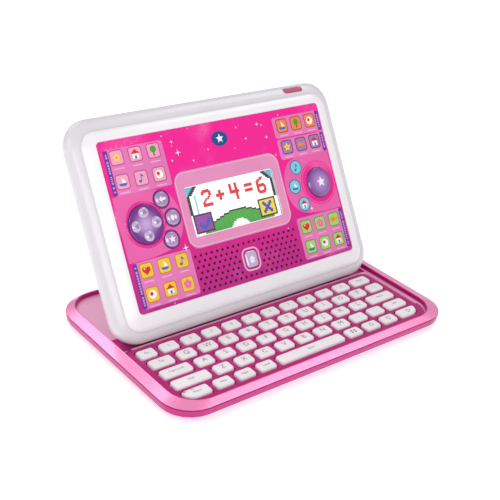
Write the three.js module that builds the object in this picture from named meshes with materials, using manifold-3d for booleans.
// Toy laptop computer: a tablet that leans in the trough of a keyboard base.
// Millimetres, +Z up, +X to the right of the person typing, -Y towards that person.
// The origin is on the table, under the middle of the whole object.
import * as THREE from 'three';
import { mergeVertices } from 'three/addons/utils/BufferGeometryUtils.js';
import Module from 'manifold-3d';

const wasm = await Module();
wasm.setup();

// ---------------------------------------------------------------- driving dimensions

const GAP = 0.3;               // between pieces that touch
const KEY_PITCH_X = 20;
const KEY_PITCH_Y = 14.76;

const BASE = {
  halfWidth: 139.5,
  halfDepth: 89.6,
  frontRadius: 25.4,
  rearRadius: 28,
  panInset: 12,                // the underside pan sits in from the side band
  footTop: 1.4,                // underside of the pan above the table
  floor: 3.0,                  // inside face of the bottom cover
  bandBottom: 6.0,
  bandTop: 11.6,
  bandDraft: 0.6,
  wall: 2.2,
  crest: 14.8,
  deck: 10.7,
  plateUnder: 8.5,
};

const TRAY = {                 // hollow inside the rim, measured at its crest
  halfWidth: 130.4,
  front: -82.9,
  rear: 86.4,
  frontRadius: 22.6,
  rearRadius: 22,
  draft: 1.4,
};

const TROUGH = { halfLength: 127, y: 11.2, radiusY: 9, depth: 2.3, bottomSkin: 1.6 };

const FLAP = {
  halfWidth: 113.6,
  hingeY: 45.2,
  hingeZ: 8.7,
  length: 23.3,
  thickness: 2.6,
  angle: 39.2,                   // degrees above the deck when it props the tablet
  pinRadius: 1.1,
  pinLength: 2.2,
  recessFloor: 6.9,
  recessFront: 17.2,
  recessRear: 47.6,
};

const KEYS = {
  centreX: -3,
  rowOneY: -11,
  top: 13.6,
  shoulder: 12.7,
  bottom: 8.2,
  flangeBottom: 7.1,
  gapX: 3.9,
  gapY: 3.5,
  radius: 2.8,
  taper: 0.5,
  bevel: 0.8,
  flange: 0.9,
  clearance: 0.4,
  openingRadius: 1.2,
  cornerRadius: 9.4,
};

const KEY_FIELD = {            // recess with a raised bead round the keys
  beadWidth: 2.6,
  beadHeight: 0.7,
  margin: 4.6,
  floor: 10.2,
  radius: 7,
  cornerRadius: 17,
};

const BOARD = { bottom: 3.3, top: 4.3, matBottom: 4.6, matTop: 5.6, margin: 4 };

const TABLET = {
  halfWidth: 132.2,
  halfHeight: 87.7,
  radius: 21.8,
  seamHalfWidth: 122.2,
  seamHalfHeight: 77.7,
  seamRadius: 13,
  seamShift: -1.2,
  seamZ: -4,
  widestZ: -11,
  backZ: -24.5,
  backInset: 13,
  wall: 2.2,
  tilt: 58.8,                  // degrees from the table
  centreY: 39.7,
  centreZ: 92.1,
};

const FACE = {
  halfWidth: 110.9,
  halfHeight: 66.5,
  shift: 0.7,
  radius: 3,
  thickness: 0.55,
  recess: 0.85,
  plateBack: -2.6,
};

const SCREEN = {
  halfWidth: 45.2,
  halfHeight: 20.2,
  surroundHalfWidth: 53.1,
  surroundHalfHeight: 30.8,
  surroundShift: 2,
  surroundRadius: 9.5,
};

const BUTTONS = {
  pad: { x: -87, y: -0.6, radius: 15.2 },
  rounds: [
    { name: 'upper_round_button', x: -68, y: 15.6 },
    { name: 'middle_round_button', x: -62, y: -0.2 },
    { name: 'lower_round_button', x: -68, y: -16.4 },
  ],
  roundRadius: 6.2,
  enter: { x: 91, y: -1, radius: 13 },
  home: { x: 0.8, y: -48.5, halfWidth: 5.9, halfHeight: 6.7, radius: 3 },
  clearance: 0.45,
  flange: 1.2,
};

const POWER = { x: 93, halfLength: 10.6, halfWidth: 2.4 };

const BATTERY = { radius: 7.1, length: 49, pitch: 15, bayX: 0, bayY: 34, count: 4 };

const SPEAKER = { x: 0, y: -48.5, radius: 14 };

const GRILLE = {
  pitch: 5.36,                 // hole to hole along a row
  rowPitch: 4.5,
  columns: 20,
  rows: 7,
  top: -34.6,
  radius: 0.95,
  keepOffX: 10.6,              // clear land round the home button
  keepOffY: 10.4,
};

const RINGS = { height: 0.55, pad: [15.9, 18.3], enter: [13.7, 17.6], home: [1.1, 2.9] };

// ---------------------------------------------------------------- outlines and solids

const CORNER_STEPS = 6;
const KEY_CORNER_STEPS = 2;

/**
 * Anticlockwise rounded rectangle.
 * Radii, and the facets given to each corner, run from the right rear corner round to the right front.
 */
function outline(box, radii, steps = CORNER_STEPS) {
  const [x0, y0, x1, y1] = box;
  const [rightRear, leftRear, leftFront, rightFront] = Array.isArray(radii) ? radii : Array(4).fill(radii);
  const facets = Array.isArray(steps) ? steps : Array(4).fill(steps);
  const corners = [
    [x1 - rightRear, y1 - rightRear, rightRear, 0],
    [x0 + leftRear, y1 - leftRear, leftRear, 1],
    [x0 + leftFront, y0 + leftFront, leftFront, 2],
    [x1 - rightFront, y0 + rightFront, rightFront, 3],
  ];
  const points = [];
  for (const [cx, cy, radius, quarter] of corners) {
    for (let i = 0; i <= facets[quarter]; i += 1) {
      const angle = (quarter + i / facets[quarter]) * Math.PI / 2;
      points.push(new THREE.Vector2(cx + radius * Math.cos(angle), cy + radius * Math.sin(angle)));
    }
  }
  return points;
}

function centredOutline(halfWidth, halfHeight, radius, shift = 0, steps = CORNER_STEPS) {
  return outline([-halfWidth, shift - halfHeight, halfWidth, shift + halfHeight], radius, steps);
}

/** Skins a stack of outlines that all have the same number of points, lowest first. */
function loft(sections) {
  const count = sections[0].points.length;
  const positions = [];
  for (const { z, points } of sections) {
    for (const point of points) positions.push(point.x, point.y, z);
  }
  const index = [];
  for (let s = 0; s < sections.length - 1; s += 1) {
    for (let i = 0; i < count; i += 1) {
      const a = s * count + i;
      const b = s * count + (i + 1) % count;
      index.push(a, b, b + count, a, b + count, a + count);
    }
  }
  const last = (sections.length - 1) * count;
  for (let i = 1; i < count - 1; i += 1) {
    index.push(0, i + 1, i);
    index.push(last, last + i, last + i + 1);
  }
  const geometry = new THREE.BufferGeometry();
  geometry.setAttribute('position', new THREE.Float32BufferAttribute(positions, 3));
  geometry.setIndex(index);
  return geometry;
}

function prism(points, z0, z1) {
  return loft([{ z: z0, points }, { z: z1, points }]);
}

function box(x0, y0, z0, x1, y1, z1) {
  const geometry = new THREE.BoxGeometry(x1 - x0, y1 - y0, z1 - z0);
  return geometry.translate((x0 + x1) / 2, (y0 + y1) / 2, (z0 + z1) / 2);
}

/** Cylinder standing on z0 at x, y. */
function disc(x, y, radius, z0, z1, sides = 24) {
  const geometry = new THREE.CylinderGeometry(radius, radius, z1 - z0, sides);
  return geometry.rotateX(Math.PI / 2).translate(x, y, (z0 + z1) / 2);
}

/** Cylinder along X from x0 to x1. */
function rod(x0, x1, y, z, radius, sides = 16) {
  const geometry = new THREE.CylinderGeometry(radius, radius, x1 - x0, sides);
  return geometry.rotateZ(Math.PI / 2).translate((x0 + x1) / 2, y, z);
}

/** Solid of revolution about a vertical axis at x, y; the profile lists [radius, z] from the top down. */
function turned(x, y, profile, sides = 24) {
  const points = profile.map(([radius, z]) => new THREE.Vector2(radius, z)).reverse();
  const geometry = new THREE.LatheGeometry(points, sides);
  return geometry.rotateX(Math.PI / 2).translate(x, y, 0);
}

function toSolid(geometry) {
  const bare = geometry.clone();
  bare.deleteAttribute('normal');
  bare.deleteAttribute('uv');
  const merged = mergeVertices(bare, 1e-4);
  const solid = new wasm.Manifold(new wasm.Mesh({
    numProp: 3,
    vertProperties: new Float32Array(merged.attributes.position.array),
    triVerts: new Uint32Array(merged.index.array),
  }));
  return solid;
}

function toGeometry(solid) {
  const mesh = solid.getMesh();
  const geometry = new THREE.BufferGeometry();
  geometry.setAttribute('position', new THREE.Float32BufferAttribute(mesh.vertProperties, 3));
  geometry.setIndex(Array.from(mesh.triVerts));
  geometry.computeVertexNormals();
  return geometry;
}

const join = (solid, geometries) => geometries.reduce((sum, g) => sum.add(toSolid(g)), solid);
const cut = (solid, geometries) => geometries.reduce((rest, g) => rest.subtract(toSolid(g)), solid);

/** One body from the pieces that are added and those that are taken away. */
function build(first, added = [], removed = []) {
  return toGeometry(cut(join(toSolid(first), added), removed));
}

// ---------------------------------------------------------------- materials

const finish = (color, roughness, metalness = 0) => new THREE.MeshStandardMaterial({ color, roughness, metalness });
const MATERIALS = {
  pinkMetallic: finish(0xe8559a, 0.3, 0.4),
  pinkDark: finish(0xc02a78, 0.35, 0.3),
  whiteGloss: finish(0xf2eff3, 0.25),
  keyWhite: finish(0xf7f5f6, 0.3),
  rubberWhite: finish(0xf3f1f2, 0.5),
  rubberGrey: finish(0x6b6b70, 0.8),
  overlay: finish(0xe0127f, 0.3),
  clear: finish(0xf0b4d2, 0.1),
  lcd: finish(0xdfe8e4, 0.3),
  board: finish(0x2f7a45, 0.6),
  steel: finish(0xb9bbc0, 0.35, 0.9),
  silverPurple: finish(0xb6a5c8, 0.25, 0.5),
  purple: finish(0x7d2f8f, 0.25, 0.3),
  cell: finish(0x3a6ea8, 0.4, 0.3),
  black: finish(0x1c1b1e, 0.7),
};

const OVERHANG = 11.45;          // how far the tablet's top reaches out behind the base

const object = new THREE.Group();
const keyboard = new THREE.Group();
const tablet = new THREE.Group();
tablet.rotation.x = THREE.MathUtils.degToRad(TABLET.tilt);
tablet.position.set(0, TABLET.centreY - OVERHANG / 2, TABLET.centreZ);
keyboard.position.set(0, -OVERHANG / 2, 0);
object.add(keyboard, tablet);

function addNode(parent, name, geometry, material) {
  const mesh = new THREE.Mesh(geometry, material);
  mesh.name = name;
  parent.add(mesh);
  return mesh;
}

// ---------------------------------------------------------------- keyboard layout

/** Key centres count in pitches from the first key of the top row; ends are the block's two sides. */
const BLOCK = { left: -0.46, right: 11.71 };
const ROWS = [
  { first: 0, keys: '_ 1 2 3 4 5 6 7 8 9 0'.split(' '), left: null, right: 'erase' },
  { first: 1.293, keys: [...'QWERTYUIOP', 'bracket'], left: 'tab', right: null },
  { first: 1.589, keys: [...'ASDFGHJKL'], left: 'caps', right: 'key_enter' },
  { first: 1.902, keys: [...'ZXCVBNM', 'comma', 'point'], left: 'key_shift_left', right: 'key_shift_right' },
  { first: 1.369, keys: ['menu', 'sound', 'help'], left: 'corner_left', right: null },
  { first: 7.913, keys: ['character', 'arrow_a', 'arrow_b'], left: 'key_space', right: 'corner_right' },
];
const ROW_LEVEL = [0, 1, 2, 3, 4, 4];

function keyList() {
  const centre = (BLOCK.left + BLOCK.right) / 2;
  const toX = (unit) => KEYS.centreX + (unit - centre) * KEY_PITCH_X;
  const keys = [];
  ROWS.forEach((row, r) => {
    const y = KEYS.rowOneY - ROW_LEVEL[r] * KEY_PITCH_Y;
    const push = (name, from, to) => keys.push({
      name,
      level: ROW_LEVEL[r],
      box: [
        toX(from) + KEYS.gapX / 2, y - (KEY_PITCH_Y - KEYS.gapY) / 2,
        toX(to) - KEYS.gapX / 2, y + (KEY_PITCH_Y - KEYS.gapY) / 2,
      ],
    });
    const last = row.first + row.keys.length - 1;
    const spaceLeft = ROWS[4].first + ROWS[4].keys.length - 0.5;
    if (row.left) push(row.left, row.left === 'key_space' ? spaceLeft : BLOCK.left, row.first - 0.5);
    row.keys.forEach((label, i) => push(label.length === 1 && label >= 'A' && label <= 'Z'
      ? `key_${label.toLowerCase()}` : label, row.first + i - 0.5, row.first + i + 0.5));
    if (row.right) push(row.right, last + 0.5, BLOCK.right);
  });
  return keys;
}

const ALL_KEYS = keyList();
const isSprung = (key) => key.name.startsWith('key_');

/** The two corner keys of the front row follow the big corners of the tray. */
function keyRadii(key, grow) {
  const plain = KEYS.radius + grow;
  const big = KEYS.cornerRadius + grow;
  if (key.name === 'corner_left') return [plain, plain, big, plain];
  if (key.name === 'corner_right') return [plain, plain, plain, big];
  return [plain, plain, plain, plain];
}

const keyFacets = (key, plain) => keyRadii(key, 0).map((radius) => (radius > KEYS.radius ? 5 : plain));

function keyOutline(key, grow) {
  const [x0, y0, x1, y1] = key.box;
  return outline([x0 - grow, y0 - grow, x1 + grow, y1 + grow], keyRadii(key, grow), keyFacets(key, KEY_CORNER_STEPS));
}

/** Opening in the key plate: the cap's outline with sharper corners and the running clearance. */
function keyOpening(key) {
  const [x0, y0, x1, y1] = key.box;
  const c = KEYS.clearance;
  const radii = keyRadii(key, c).map((radius) => (radius > KEYS.radius + c ? radius : KEYS.openingRadius));
  const points = outline([x0 - c, y0 - c, x1 + c, y1 + c], radii, keyFacets(key, 1));
  return prism(points, BASE.plateUnder - 1, BASE.crest);
}

function capSections(key) {
  return [
    { z: KEYS.bottom, points: keyOutline(key, 0) },
    { z: KEYS.shoulder, points: keyOutline(key, -KEYS.taper) },
    { z: KEYS.top, points: keyOutline(key, -KEYS.taper - KEYS.bevel) },
  ];
}

function sprungKey(key) {
  return loft([
    { z: KEYS.flangeBottom, points: keyOutline(key, KEYS.flange) },
    { z: KEYS.bottom, points: keyOutline(key, KEYS.flange) },
    ...capSections(key),
  ]);
}

// ---------------------------------------------------------------- keyboard base

function baseOutline(inset, radiusLoss = inset) {
  const { halfWidth: w, halfDepth: d, frontRadius: f, rearRadius: r } = BASE;
  const front = Math.max(f - radiusLoss, 1);
  const rear = Math.max(r - radiusLoss, 1);
  return outline([inset - w, inset - d, w - inset, d - inset], [rear, rear, front, front]);
}

function trayOutline(inset) {
  const { halfWidth: w, front: y0, rear: y1, frontRadius: f, rearRadius: r } = TRAY;
  return outline([inset - w, y0 + inset, w - inset, y1 - inset], [r - inset, r - inset, f - inset, f - inset]);
}

function keyFieldOutline(grow) {
  const boxes = ALL_KEYS.map((key) => key.box);
  const m = KEY_FIELD.margin + grow;
  const low = [Math.min(...boxes.map((b) => b[0])), Math.min(...boxes.map((b) => b[1]))];
  const high = [Math.max(...boxes.map((b) => b[2])), Math.max(...boxes.map((b) => b[3]))];
  const plain = KEY_FIELD.radius + grow;
  const big = KEY_FIELD.cornerRadius + grow;
  return outline([low[0] - m, low[1] - m, high[0] + m, high[1] + m], [plain, plain, big, big]);
}

/** Trough: a shallow channel of elliptical section along X. */
function troughCut(drop = 0) {
  const steps = 10;
  const shape = new THREE.Shape();
  shape.moveTo(TROUGH.radiusY, 1);
  for (let i = 0; i <= steps; i += 1) {
    const angle = Math.PI * i / steps;
    shape.lineTo(TROUGH.radiusY * Math.cos(angle), -(TROUGH.depth + drop) * Math.sin(angle));
  }
  shape.lineTo(-TROUGH.radiusY, 1);
  const geometry = new THREE.ExtrudeGeometry(shape, { depth: 2 * TROUGH.halfLength, bevelEnabled: false });
  geometry.rotateX(Math.PI / 2).rotateZ(Math.PI / 2);
  return geometry.translate(-TROUGH.halfLength, TROUGH.y, BASE.deck);
}

function topHousing() {
  const rim = loft([
    { z: BASE.bandTop + GAP / 2, points: baseOutline(0) },
    { z: BASE.bandTop + 0.7, points: baseOutline(0.2) },
    { z: BASE.crest - 0.5, points: trayOutline(-1.2) },
    { z: BASE.crest, points: trayOutline(-0.5) },
  ]);
  const tray = prism(trayOutline(0), BASE.plateUnder, BASE.crest - 1);
  const troughBed = box(
    -TROUGH.halfLength, TROUGH.y - TROUGH.radiusY, BASE.deck - TROUGH.depth - TROUGH.bottomSkin,
    TROUGH.halfLength, TROUGH.y + TROUGH.radiusY, BASE.deck - 1,
  );
  const bedHalf = FLAP.halfWidth + FLAP.pinLength + 3;
  const flapBed = box(-bedHalf, FLAP.recessFront, FLAP.recessFloor - 1.6, bedHalf, FLAP.recessRear + 3, BASE.deck - 1);
  const hollow = loft([
    { z: BASE.deck, points: trayOutline(TRAY.draft) },
    { z: BASE.deck + 0.8, points: trayOutline(TRAY.draft / 2) },
    { z: BASE.crest - 0.6, points: trayOutline(TRAY.draft / 4) },
    { z: BASE.crest + 0.4, points: trayOutline(-0.6) },
  ]);
  const bead = prism(keyFieldOutline(KEY_FIELD.beadWidth), BASE.deck - 1, BASE.deck + KEY_FIELD.beadHeight);
  const field = prism(keyFieldOutline(0), KEY_FIELD.floor, BASE.crest + 1);
  const openings = ALL_KEYS.map(keyOpening);
  const recess = box(
    -FLAP.halfWidth - 2 * GAP, FLAP.recessFront, FLAP.recessFloor,
    FLAP.halfWidth + 2 * GAP, FLAP.recessRear, BASE.crest,
  );
  const pinHole = rod(
    -FLAP.halfWidth - FLAP.pinLength - GAP, FLAP.halfWidth + FLAP.pinLength + GAP,
    FLAP.hingeY, FLAP.hingeZ, FLAP.pinRadius + GAP,
  );
  const connectorSlot = box(-DOCK.halfWidth - GAP, DOCK.y0 - GAP, 0, DOCK.halfWidth + GAP, DOCK.y1 + GAP, BASE.crest);
  let solid = join(toSolid(rim), [tray, troughBed, flapBed]);
  solid = cut(solid, [hollow]);
  solid = join(solid, [bead]);
  solid = cut(solid, [field, troughCut(), recess, pinHole, connectorSlot, ...openings]);
  return toGeometry(solid);
}

const DOCK = { halfWidth: 16, y0: 9.2, y1: 14.4, bottom: 3.3, top: 8.6 };
const BOSS = { radius: 3.4, spots: [[-124, 30], [124, 30], [-112, 72], [112, 72], [0, 66]] };
const FOOT = { radius: 6, height: 2.1, recess: 0.8, x: 104, y: 56 };

function footSpots() {
  const spots = [];
  for (const [side, sx] of [['left', -1], ['right', 1]]) {
    for (const [end, sy] of [['front', -1], ['rear', 1]]) {
      spots.push({ name: `foot_${end}_${side}`, x: sx * FOOT.x, y: sy * FOOT.y });
    }
  }
  return spots;
}

function bottomCover() {
  const outer = loft([
    { z: BASE.footTop, points: baseOutline(BASE.panInset, 12) },
    { z: BASE.footTop + 1, points: baseOutline(BASE.panInset - 1.5, 11) },
    { z: BASE.bandBottom - 0.4, points: baseOutline(1.8) },
    { z: BASE.bandBottom, points: baseOutline(BASE.bandDraft) },
    { z: BASE.bandTop - GAP / 2, points: baseOutline(0) },
  ]);
  const inner = loft([
    { z: BASE.floor, points: baseOutline(BASE.panInset + 0.5, 12) },
    { z: BASE.floor + 0.5, points: baseOutline(BASE.panInset - 0.5, 12) },
    { z: BASE.bandBottom + 1.2, points: baseOutline(BASE.wall + 1) },
    { z: BASE.bandTop + 1, points: baseOutline(BASE.wall) },
  ]);
  const bosses = BOSS.spots.map(([x, y]) => disc(x, y, BOSS.radius, BASE.floor - 0.5, BASE.plateUnder - GAP, 10));
  const footPockets = footSpots().map(({ x, y }) => (
    disc(x, y, FOOT.radius + GAP, 0, BASE.footTop + FOOT.recess, 16)
  ));
  return toGeometry(cut(join(cut(toSolid(outer), [inner]), bosses), footPockets));
}

/** Board and mat share the outline of the key field, cut back at the big front corners. */
function keyMat() {
  const sheet = prism(keyFieldOutline(-BOARD.margin), BOARD.matBottom, BOARD.matTop);
  const caps = ALL_KEYS.filter((key) => !isSprung(key)).map((key) => loft([
    { z: BOARD.matTop - 0.4, points: keyOutline(key, 0) },
    ...capSections(key).slice(1),
  ]));
  return build(sheet, caps);
}

function supportFlap() {
  const t = FLAP.thickness;
  const shape = new THREE.Shape();
  shape.moveTo(0, -t / 2);
  shape.absarc(0, 0, t / 2, -Math.PI / 2, Math.PI / 2, false);
  shape.lineTo(-FLAP.length + t / 2, t / 2);
  shape.absarc(-FLAP.length + t / 2, 0, t / 2, Math.PI / 2, 1.5 * Math.PI, false);
  const plate = new THREE.ExtrudeGeometry(shape, {
    depth: 2 * FLAP.halfWidth, bevelEnabled: false, curveSegments: 5,
  });
  plate.rotateX(Math.PI / 2).rotateZ(Math.PI / 2).translate(-FLAP.halfWidth, 0, 0);
  const pin = rod(-FLAP.halfWidth - FLAP.pinLength, FLAP.halfWidth + FLAP.pinLength, 0, 0, FLAP.pinRadius, 12);
  const flap = build(plate, [pin]);
  flap.rotateX(-THREE.MathUtils.degToRad(FLAP.angle));
  return flap.translate(0, FLAP.hingeY, FLAP.hingeZ);
}

addNode(keyboard, 'base_top_housing', topHousing(), MATERIALS.pinkMetallic);
addNode(keyboard, 'base_bottom_cover', bottomCover(), MATERIALS.pinkDark);
addNode(keyboard, 'rubber_key_mat', keyMat(), MATERIALS.rubberWhite);
addNode(
  keyboard, 'keyboard_circuit_board',
  prism(keyFieldOutline(-BOARD.margin), BOARD.bottom, BOARD.top), MATERIALS.board,
);
addNode(keyboard, 'tablet_support_flap', supportFlap(), MATERIALS.pinkMetallic);
addNode(
  keyboard, 'dock_connector',
  box(-DOCK.halfWidth, DOCK.y0, DOCK.bottom, DOCK.halfWidth, DOCK.y1, DOCK.top), MATERIALS.black,
);
for (const { name, x, y } of footSpots()) {
  addNode(keyboard, name, disc(x, y, FOOT.radius, 0, FOOT.height, 16), MATERIALS.rubberGrey);
}
for (const key of ALL_KEYS.filter(isSprung)) {
  addNode(keyboard, key.name, sprungKey(key), MATERIALS.keyWhite);
}

// ---------------------------------------------------------------- tablet

/** Section of the tablet body that grows from the seam (0) to the widest line (1). */
function tabletOutline(grown, inset = 0) {
  const mix = (a, b) => a + (b - a) * grown;
  return centredOutline(
    mix(TABLET.seamHalfWidth, TABLET.halfWidth) - inset,
    mix(TABLET.seamHalfHeight, TABLET.halfHeight) - inset,
    mix(TABLET.seamRadius, TABLET.radius) - inset,
    mix(TABLET.seamShift, 0),
  );
}

function tabletBackOutline(angle, inset = 0) {
  const loss = TABLET.backInset * (1 - Math.cos(angle)) + inset;
  return centredOutline(TABLET.halfWidth - loss, TABLET.halfHeight - loss, TABLET.radius - loss);
}

const QUARTER = Math.PI / 2;
const ROUND_STEPS = 4;

function shellSections(inset, backZ, seamZ) {
  const sections = [];
  for (let i = ROUND_STEPS; i >= 0; i -= 1) {
    const angle = QUARTER * i / ROUND_STEPS;
    const z = TABLET.widestZ - (TABLET.widestZ - backZ) * Math.sin(angle);
    sections.push({ z, points: tabletBackOutline(angle, inset) });
  }
  for (let i = 1; i <= ROUND_STEPS; i += 1) {
    const angle = QUARTER * i / ROUND_STEPS;
    const z = TABLET.widestZ + (seamZ - TABLET.widestZ) * Math.sin(angle);
    sections.push({ z, points: tabletOutline(Math.cos(angle), inset) });
  }
  return sections;
}

const BAY = {
  halfWidth: BATTERY.pitch * BATTERY.count / 2 + 1.2,
  halfHeight: BATTERY.length / 2 + 4,
  roof: -6.5,
  wall: 1.2,
  ledge: 2.2,
  doorThickness: 1.8,
};

function bayBox(grow, z0, z1) {
  return box(
    BATTERY.bayX - BAY.halfWidth - grow, BATTERY.bayY - BAY.halfHeight - grow, z0,
    BATTERY.bayX + BAY.halfWidth + grow, BATTERY.bayY + BAY.halfHeight + grow, z1,
  );
}

function powerOutline(grow) {
  return centredOutline(POWER.halfLength + grow, POWER.halfWidth + grow, POWER.halfWidth + grow - 0.05, 0, 4);
}

/** Places a shape made about the local axis so that it leaves the top side of the tablet. */
function atPowerButton(geometry) {
  geometry.rotateX(-THREE.MathUtils.degToRad(POWER_TILT));
  return geometry.translate(POWER.x, POWER_Y, POWER_Z);
}
const POWER_TILT = 48;
const POWER_Y = 82.2;
const POWER_Z = -6.3;

function rearShell() {
  const outer = loft(shellSections(0, TABLET.backZ, TABLET.seamZ - GAP / 2));
  const hollow = loft([
    ...shellSections(TABLET.wall, TABLET.backZ + TABLET.wall, TABLET.seamZ),
    { z: TABLET.seamZ + 1, points: tabletOutline(0, TABLET.wall) },
  ]);
  const bay = bayBox(BAY.wall, TABLET.backZ + 0.5, BAY.roof);
  const bayHollow = bayBox(0, TABLET.backZ - 1, BAY.roof - BAY.wall);
  const doorSeat = bayBox(BAY.ledge, TABLET.backZ - 1, TABLET.backZ + BAY.doorThickness + GAP);
  const doorFrame = bayBox(BAY.ledge + BAY.wall, TABLET.backZ + 0.5, TABLET.backZ + BAY.doorThickness + 2 * BAY.wall);
  const powerHole = atPowerButton(prism(powerOutline(GAP), -5, 5));
  const solid = join(cut(toSolid(outer), [hollow]), [bay, doorFrame]);
  return toGeometry(cut(solid, [bayHollow, doorSeat, powerHole]));
}

function buttonHoles(grow, z0, z1) {
  const c = BUTTONS.clearance + grow;
  const { pad, rounds, roundRadius, enter } = BUTTONS;
  return [
    disc(pad.x, pad.y, pad.radius + c, z0, z1, 28),
    ...rounds.map(({ x, y }) => disc(x, y, roundRadius + c, z0, z1, 16)),
    disc(enter.x, enter.y, enter.radius + c, z0, z1, 24),
    prism(homeOutline(c), z0, z1),
  ];
}

function frontFrame() {
  const crown = [
    [0, 0, TABLET.seamZ + GAP / 2],
    [0.06, 0.9, TABLET.seamZ + 1.3],
    [0.3, 3.6, TABLET.seamZ + 2.6],
    [0.7, 7.4, TABLET.seamZ + 3.4],
    [1, 10.4, TABLET.seamZ + 3.75],
  ];
  const seam = [TABLET.seamHalfWidth, TABLET.seamHalfHeight, TABLET.seamRadius, TABLET.seamShift];
  const edge = [FACE.halfWidth + 0.9, FACE.halfHeight + 0.9, FACE.radius + 1.4, FACE.shift];
  const body = loft(crown.map(([share, , z]) => ({
    z,
    points: centredOutline(...seam.map((value, i) => value + (edge[i] - value) * share)),
  })));
  const underside = prism(tabletOutline(0, 4.2), TABLET.seamZ - 1, FACE.plateBack);
  const faceRecess = prism(
    centredOutline(FACE.halfWidth + GAP, FACE.halfHeight + GAP, FACE.radius + GAP, FACE.shift), -FACE.recess, 1,
  );
  const screenHole = box(
    -SCREEN.halfWidth - 0.6, -SCREEN.halfHeight - 0.6, TABLET.seamZ - 1,
    SCREEN.halfWidth + 0.6, SCREEN.halfHeight + 0.6, 1,
  );
  const halfField = (GRILLE.columns - 1) / 2 * GRILLE.pitch + GRILLE.radius + 0.6;
  const fieldBottom = GRILLE.top - (GRILLE.rows - 1) * GRILLE.rowPitch - GRILLE.radius - 0.6;
  const soundWindows = [-1, 1].map((side) => {
    const xs = [side * (BUTTONS.home.halfWidth + 5), side * halfField].sort((a, b) => a - b);
    return box(xs[0], fieldBottom, TABLET.seamZ - 1, xs[1], GRILLE.top + GRILLE.radius + 0.6, 1);
  });
  return build(body, [], [
    underside, faceRecess, screenHole, ...soundWindows, ...buttonHoles(0, TABLET.seamZ - 1, 1),
  ]);
}

/** Centres of the sound holes: rows that step half a pitch, open round the home button. */
function grilleSpots() {
  const spots = [];
  for (let row = 0; row < GRILLE.rows; row += 1) {
    const shifted = row % 2;
    const y = GRILLE.top - row * GRILLE.rowPitch;
    for (let i = 0; i < GRILLE.columns - shifted; i += 1) {
      const x = (i - (GRILLE.columns - 1 - shifted) / 2) * GRILLE.pitch;
      const nearButton = Math.abs(x - BUTTONS.home.x) < GRILLE.keepOffX
        && Math.abs(y - BUTTONS.home.y) < GRILLE.keepOffY;
      if (!nearButton) spots.push([x, y]);
    }
  }
  return spots;
}

/** Raised rims moulded on the overlay: a low rounded band from the inner to the outer radius. */
function ring({ x, y }, [inner, outer]) {
  const wall = (outer - inner) * 0.3;
  const band = turned(x, y, [
    [0, RINGS.height], [outer - wall, RINGS.height], [outer, 0.1], [outer, -FACE.thickness], [0, -FACE.thickness],
  ], 28);
  return band;
}

function homeOutline(grow) {
  const { home } = BUTTONS;
  return outline([
    home.x - home.halfWidth - grow, home.y - home.halfHeight - grow,
    home.x + home.halfWidth + grow, home.y + home.halfHeight + grow,
  ], home.radius + grow, 4);
}

function faceOverlay() {
  const sheet = prism(
    centredOutline(FACE.halfWidth, FACE.halfHeight, FACE.radius, FACE.shift), -FACE.thickness, 0,
  );
  const rims = [
    ring(BUTTONS.pad, RINGS.pad),
    ring(BUTTONS.enter, RINGS.enter),
    loft([
      { z: -FACE.thickness, points: homeOutline(RINGS.home[1]) },
      { z: 0.1, points: homeOutline(RINGS.home[1]) },
      { z: RINGS.height, points: homeOutline(RINGS.home[1] - 0.6) },
    ]),
  ];
  const soundHoles = grilleSpots().map(([x, y]) => disc(x, y, GRILLE.radius, -1, 1, 6));
  const window = prism(
    centredOutline(
      SCREEN.surroundHalfWidth + GAP, SCREEN.surroundHalfHeight + GAP, SCREEN.surroundRadius, SCREEN.surroundShift,
    ), -1, 1,
  );
  return build(sheet, rims, [window, ...buttonHoles(0, -1, 2), ...soundHoles]);
}

function screenWindow() {
  return prism(
    centredOutline(
      SCREEN.surroundHalfWidth, SCREEN.surroundHalfHeight, SCREEN.surroundRadius, SCREEN.surroundShift,
    ), -FACE.thickness, 0.1,
  );
}

/** Push button: a cap that stands out of the face on a wider flange behind the frame. */
function roundButton({ x, y }, radius, height, crownDrop) {
  const flangeBack = FACE.plateBack - 1.3 - GAP;
  return turned(x, y, [
    [0, height],
    [radius * 0.55, height - crownDrop * 0.25],
    [radius - 0.9, height - crownDrop],
    [radius, height - crownDrop - 0.8],
    [radius, FACE.plateBack - GAP],
    [radius + BUTTONS.flange, FACE.plateBack - GAP],
    [radius + BUTTONS.flange, flangeBack],
    [0, flangeBack],
  ], radius > BUTTONS.roundRadius ? 24 : 16);
}

function directionPad() {
  const { pad } = BUTTONS;
  const dish = turned(pad.x, pad.y, [
    [0, 0.6],
    [5, 0.7],
    [10, 1.2],
    [13.6, 1.9],
    [pad.radius - 0.5, 1.7],
    [pad.radius, 1.1],
    [pad.radius, FACE.plateBack - 1],
    [pad.radius + BUTTONS.flange, FACE.plateBack - 1],
    [pad.radius + BUTTONS.flange, FACE.plateBack - 1.8],
    [0, FACE.plateBack - 1.8],
  ], 28);
  const arrows = [0, 1, 2, 3].map((quarter) => {
    const angle = quarter * QUARTER;
    const x = pad.x + 9.3 * Math.cos(angle);
    const y = pad.y + 9.3 * Math.sin(angle);
    return turned(x, y, [[0, 2.9], [2.2, 2.6], [3.9, 1], [3.9, -0.5], [0, -0.5]], 8);
  });
  return build(dish, arrows);
}

function homeButton() {
  const section = (grow, z) => ({ z, points: homeOutline(grow) });
  const flangeBack = FACE.plateBack - 1.3 - GAP;
  return loft([
    section(BUTTONS.flange, flangeBack),
    section(BUTTONS.flange, FACE.plateBack - GAP),
    section(0, FACE.plateBack - GAP),
    section(0, 0.9),
    section(-0.9, 1.5),
    section(-2.4, 1.7),
  ]);
}

const MAT_PAD = { bottom: -6.1, top: -5.4 };

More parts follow.
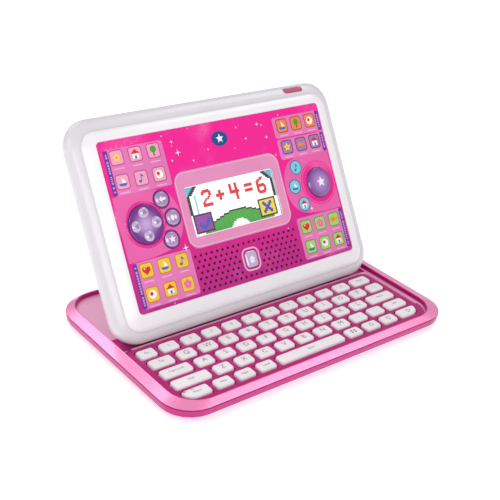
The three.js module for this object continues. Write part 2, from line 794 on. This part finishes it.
/** Soft sheet behind the buttons: a wing on each side of the display, joined under it. */
function buttonMat() {
  const sheet = prism(outline([-106, -60, 107, 26], 3, 2), MAT_PAD.bottom, MAT_PAD.top);
  return build(sheet, [], [box(-50.5, -25.5, -7, 50.5, 30, -5)]);
}

/** Board behind the buttons and the display, notched round the battery bay. */
function circuitBoard() {
  const notch = BAY.halfWidth + BAY.wall + 0.6;
  const board = prism(outline([-108, -66, 108, 52], 4, 2), -7.9, -6.4);
  return build(board, [], [box(-notch, BATTERY.bayY - BAY.halfHeight - BAY.wall - 0.6, -9, notch, 60, -5)]);
}

function batteryCell(index) {
  const x = BATTERY.bayX + (index - (BATTERY.count - 1) / 2) * BATTERY.pitch;
  const z = TABLET.backZ + BAY.doorThickness + GAP + BATTERY.radius + 0.2;
  const end = BATTERY.length / 2;
  const profile = [
    [0, -end], [BATTERY.radius - 0.6, -end], [BATTERY.radius, -end + 0.6],
    [BATTERY.radius, end - 0.6], [BATTERY.radius - 0.6, end], [2.6, end], [2.6, end + 1.4], [0, end + 1.4],
  ];
  const cell = turned(0, 0, profile.reverse(), 14);
  cell.rotateX(index % 2 ? QUARTER : -QUARTER);
  return cell.translate(x, BATTERY.bayY, z);
}

addNode(tablet, 'tablet_rear_shell', rearShell(), MATERIALS.whiteGloss);
addNode(tablet, 'tablet_front_frame', frontFrame(), MATERIALS.whiteGloss);
addNode(tablet, 'face_overlay', faceOverlay(), MATERIALS.overlay);
addNode(tablet, 'screen_window', screenWindow(), MATERIALS.clear);
addNode(tablet, 'lcd_module', box(-49, -24, -6.1, 49, 24, FACE.plateBack - GAP), MATERIALS.lcd);
addNode(tablet, 'main_circuit_board', circuitBoard(), MATERIALS.board);
addNode(tablet, 'button_mat', buttonMat(), MATERIALS.rubberGrey);
addNode(tablet, 'speaker', turned(SPEAKER.x, SPEAKER.y, [
  [0, -8.4], [SPEAKER.radius, -8.4], [SPEAKER.radius, -10],
  [SPEAKER.radius - 5, -13], [SPEAKER.radius - 6, -16], [0, -16],
], 16), MATERIALS.steel);
addNode(tablet, 'direction_pad', directionPad(), MATERIALS.purple);
for (const spot of BUTTONS.rounds) {
  addNode(tablet, spot.name, roundButton(spot, BUTTONS.roundRadius, 1.7, 0.5), MATERIALS.silverPurple);
}
addNode(tablet, 'enter_button', roundButton(BUTTONS.enter, BUTTONS.enter.radius, 3.6, 1.8), MATERIALS.purple);
addNode(tablet, 'home_button', homeButton(), MATERIALS.silverPurple);
addNode(tablet, 'power_button', atPowerButton(loft([
  { z: -4.4, points: powerOutline(0.9) },
  { z: -3.4, points: powerOutline(0.9) },
  { z: -3.4, points: powerOutline(0) },
  { z: 0.6, points: powerOutline(0) },
  { z: 1.1, points: powerOutline(-0.5) },
])), MATERIALS.pinkMetallic);
addNode(tablet, 'battery_door', bayBox(
  BAY.ledge - GAP, TABLET.backZ, TABLET.backZ + BAY.doorThickness,
), MATERIALS.whiteGloss);
for (let i = 0; i < BATTERY.count; i += 1) {
  addNode(tablet, `battery_cell_${i + 1}`, batteryCell(i), MATERIALS.cell);
}

export default object;
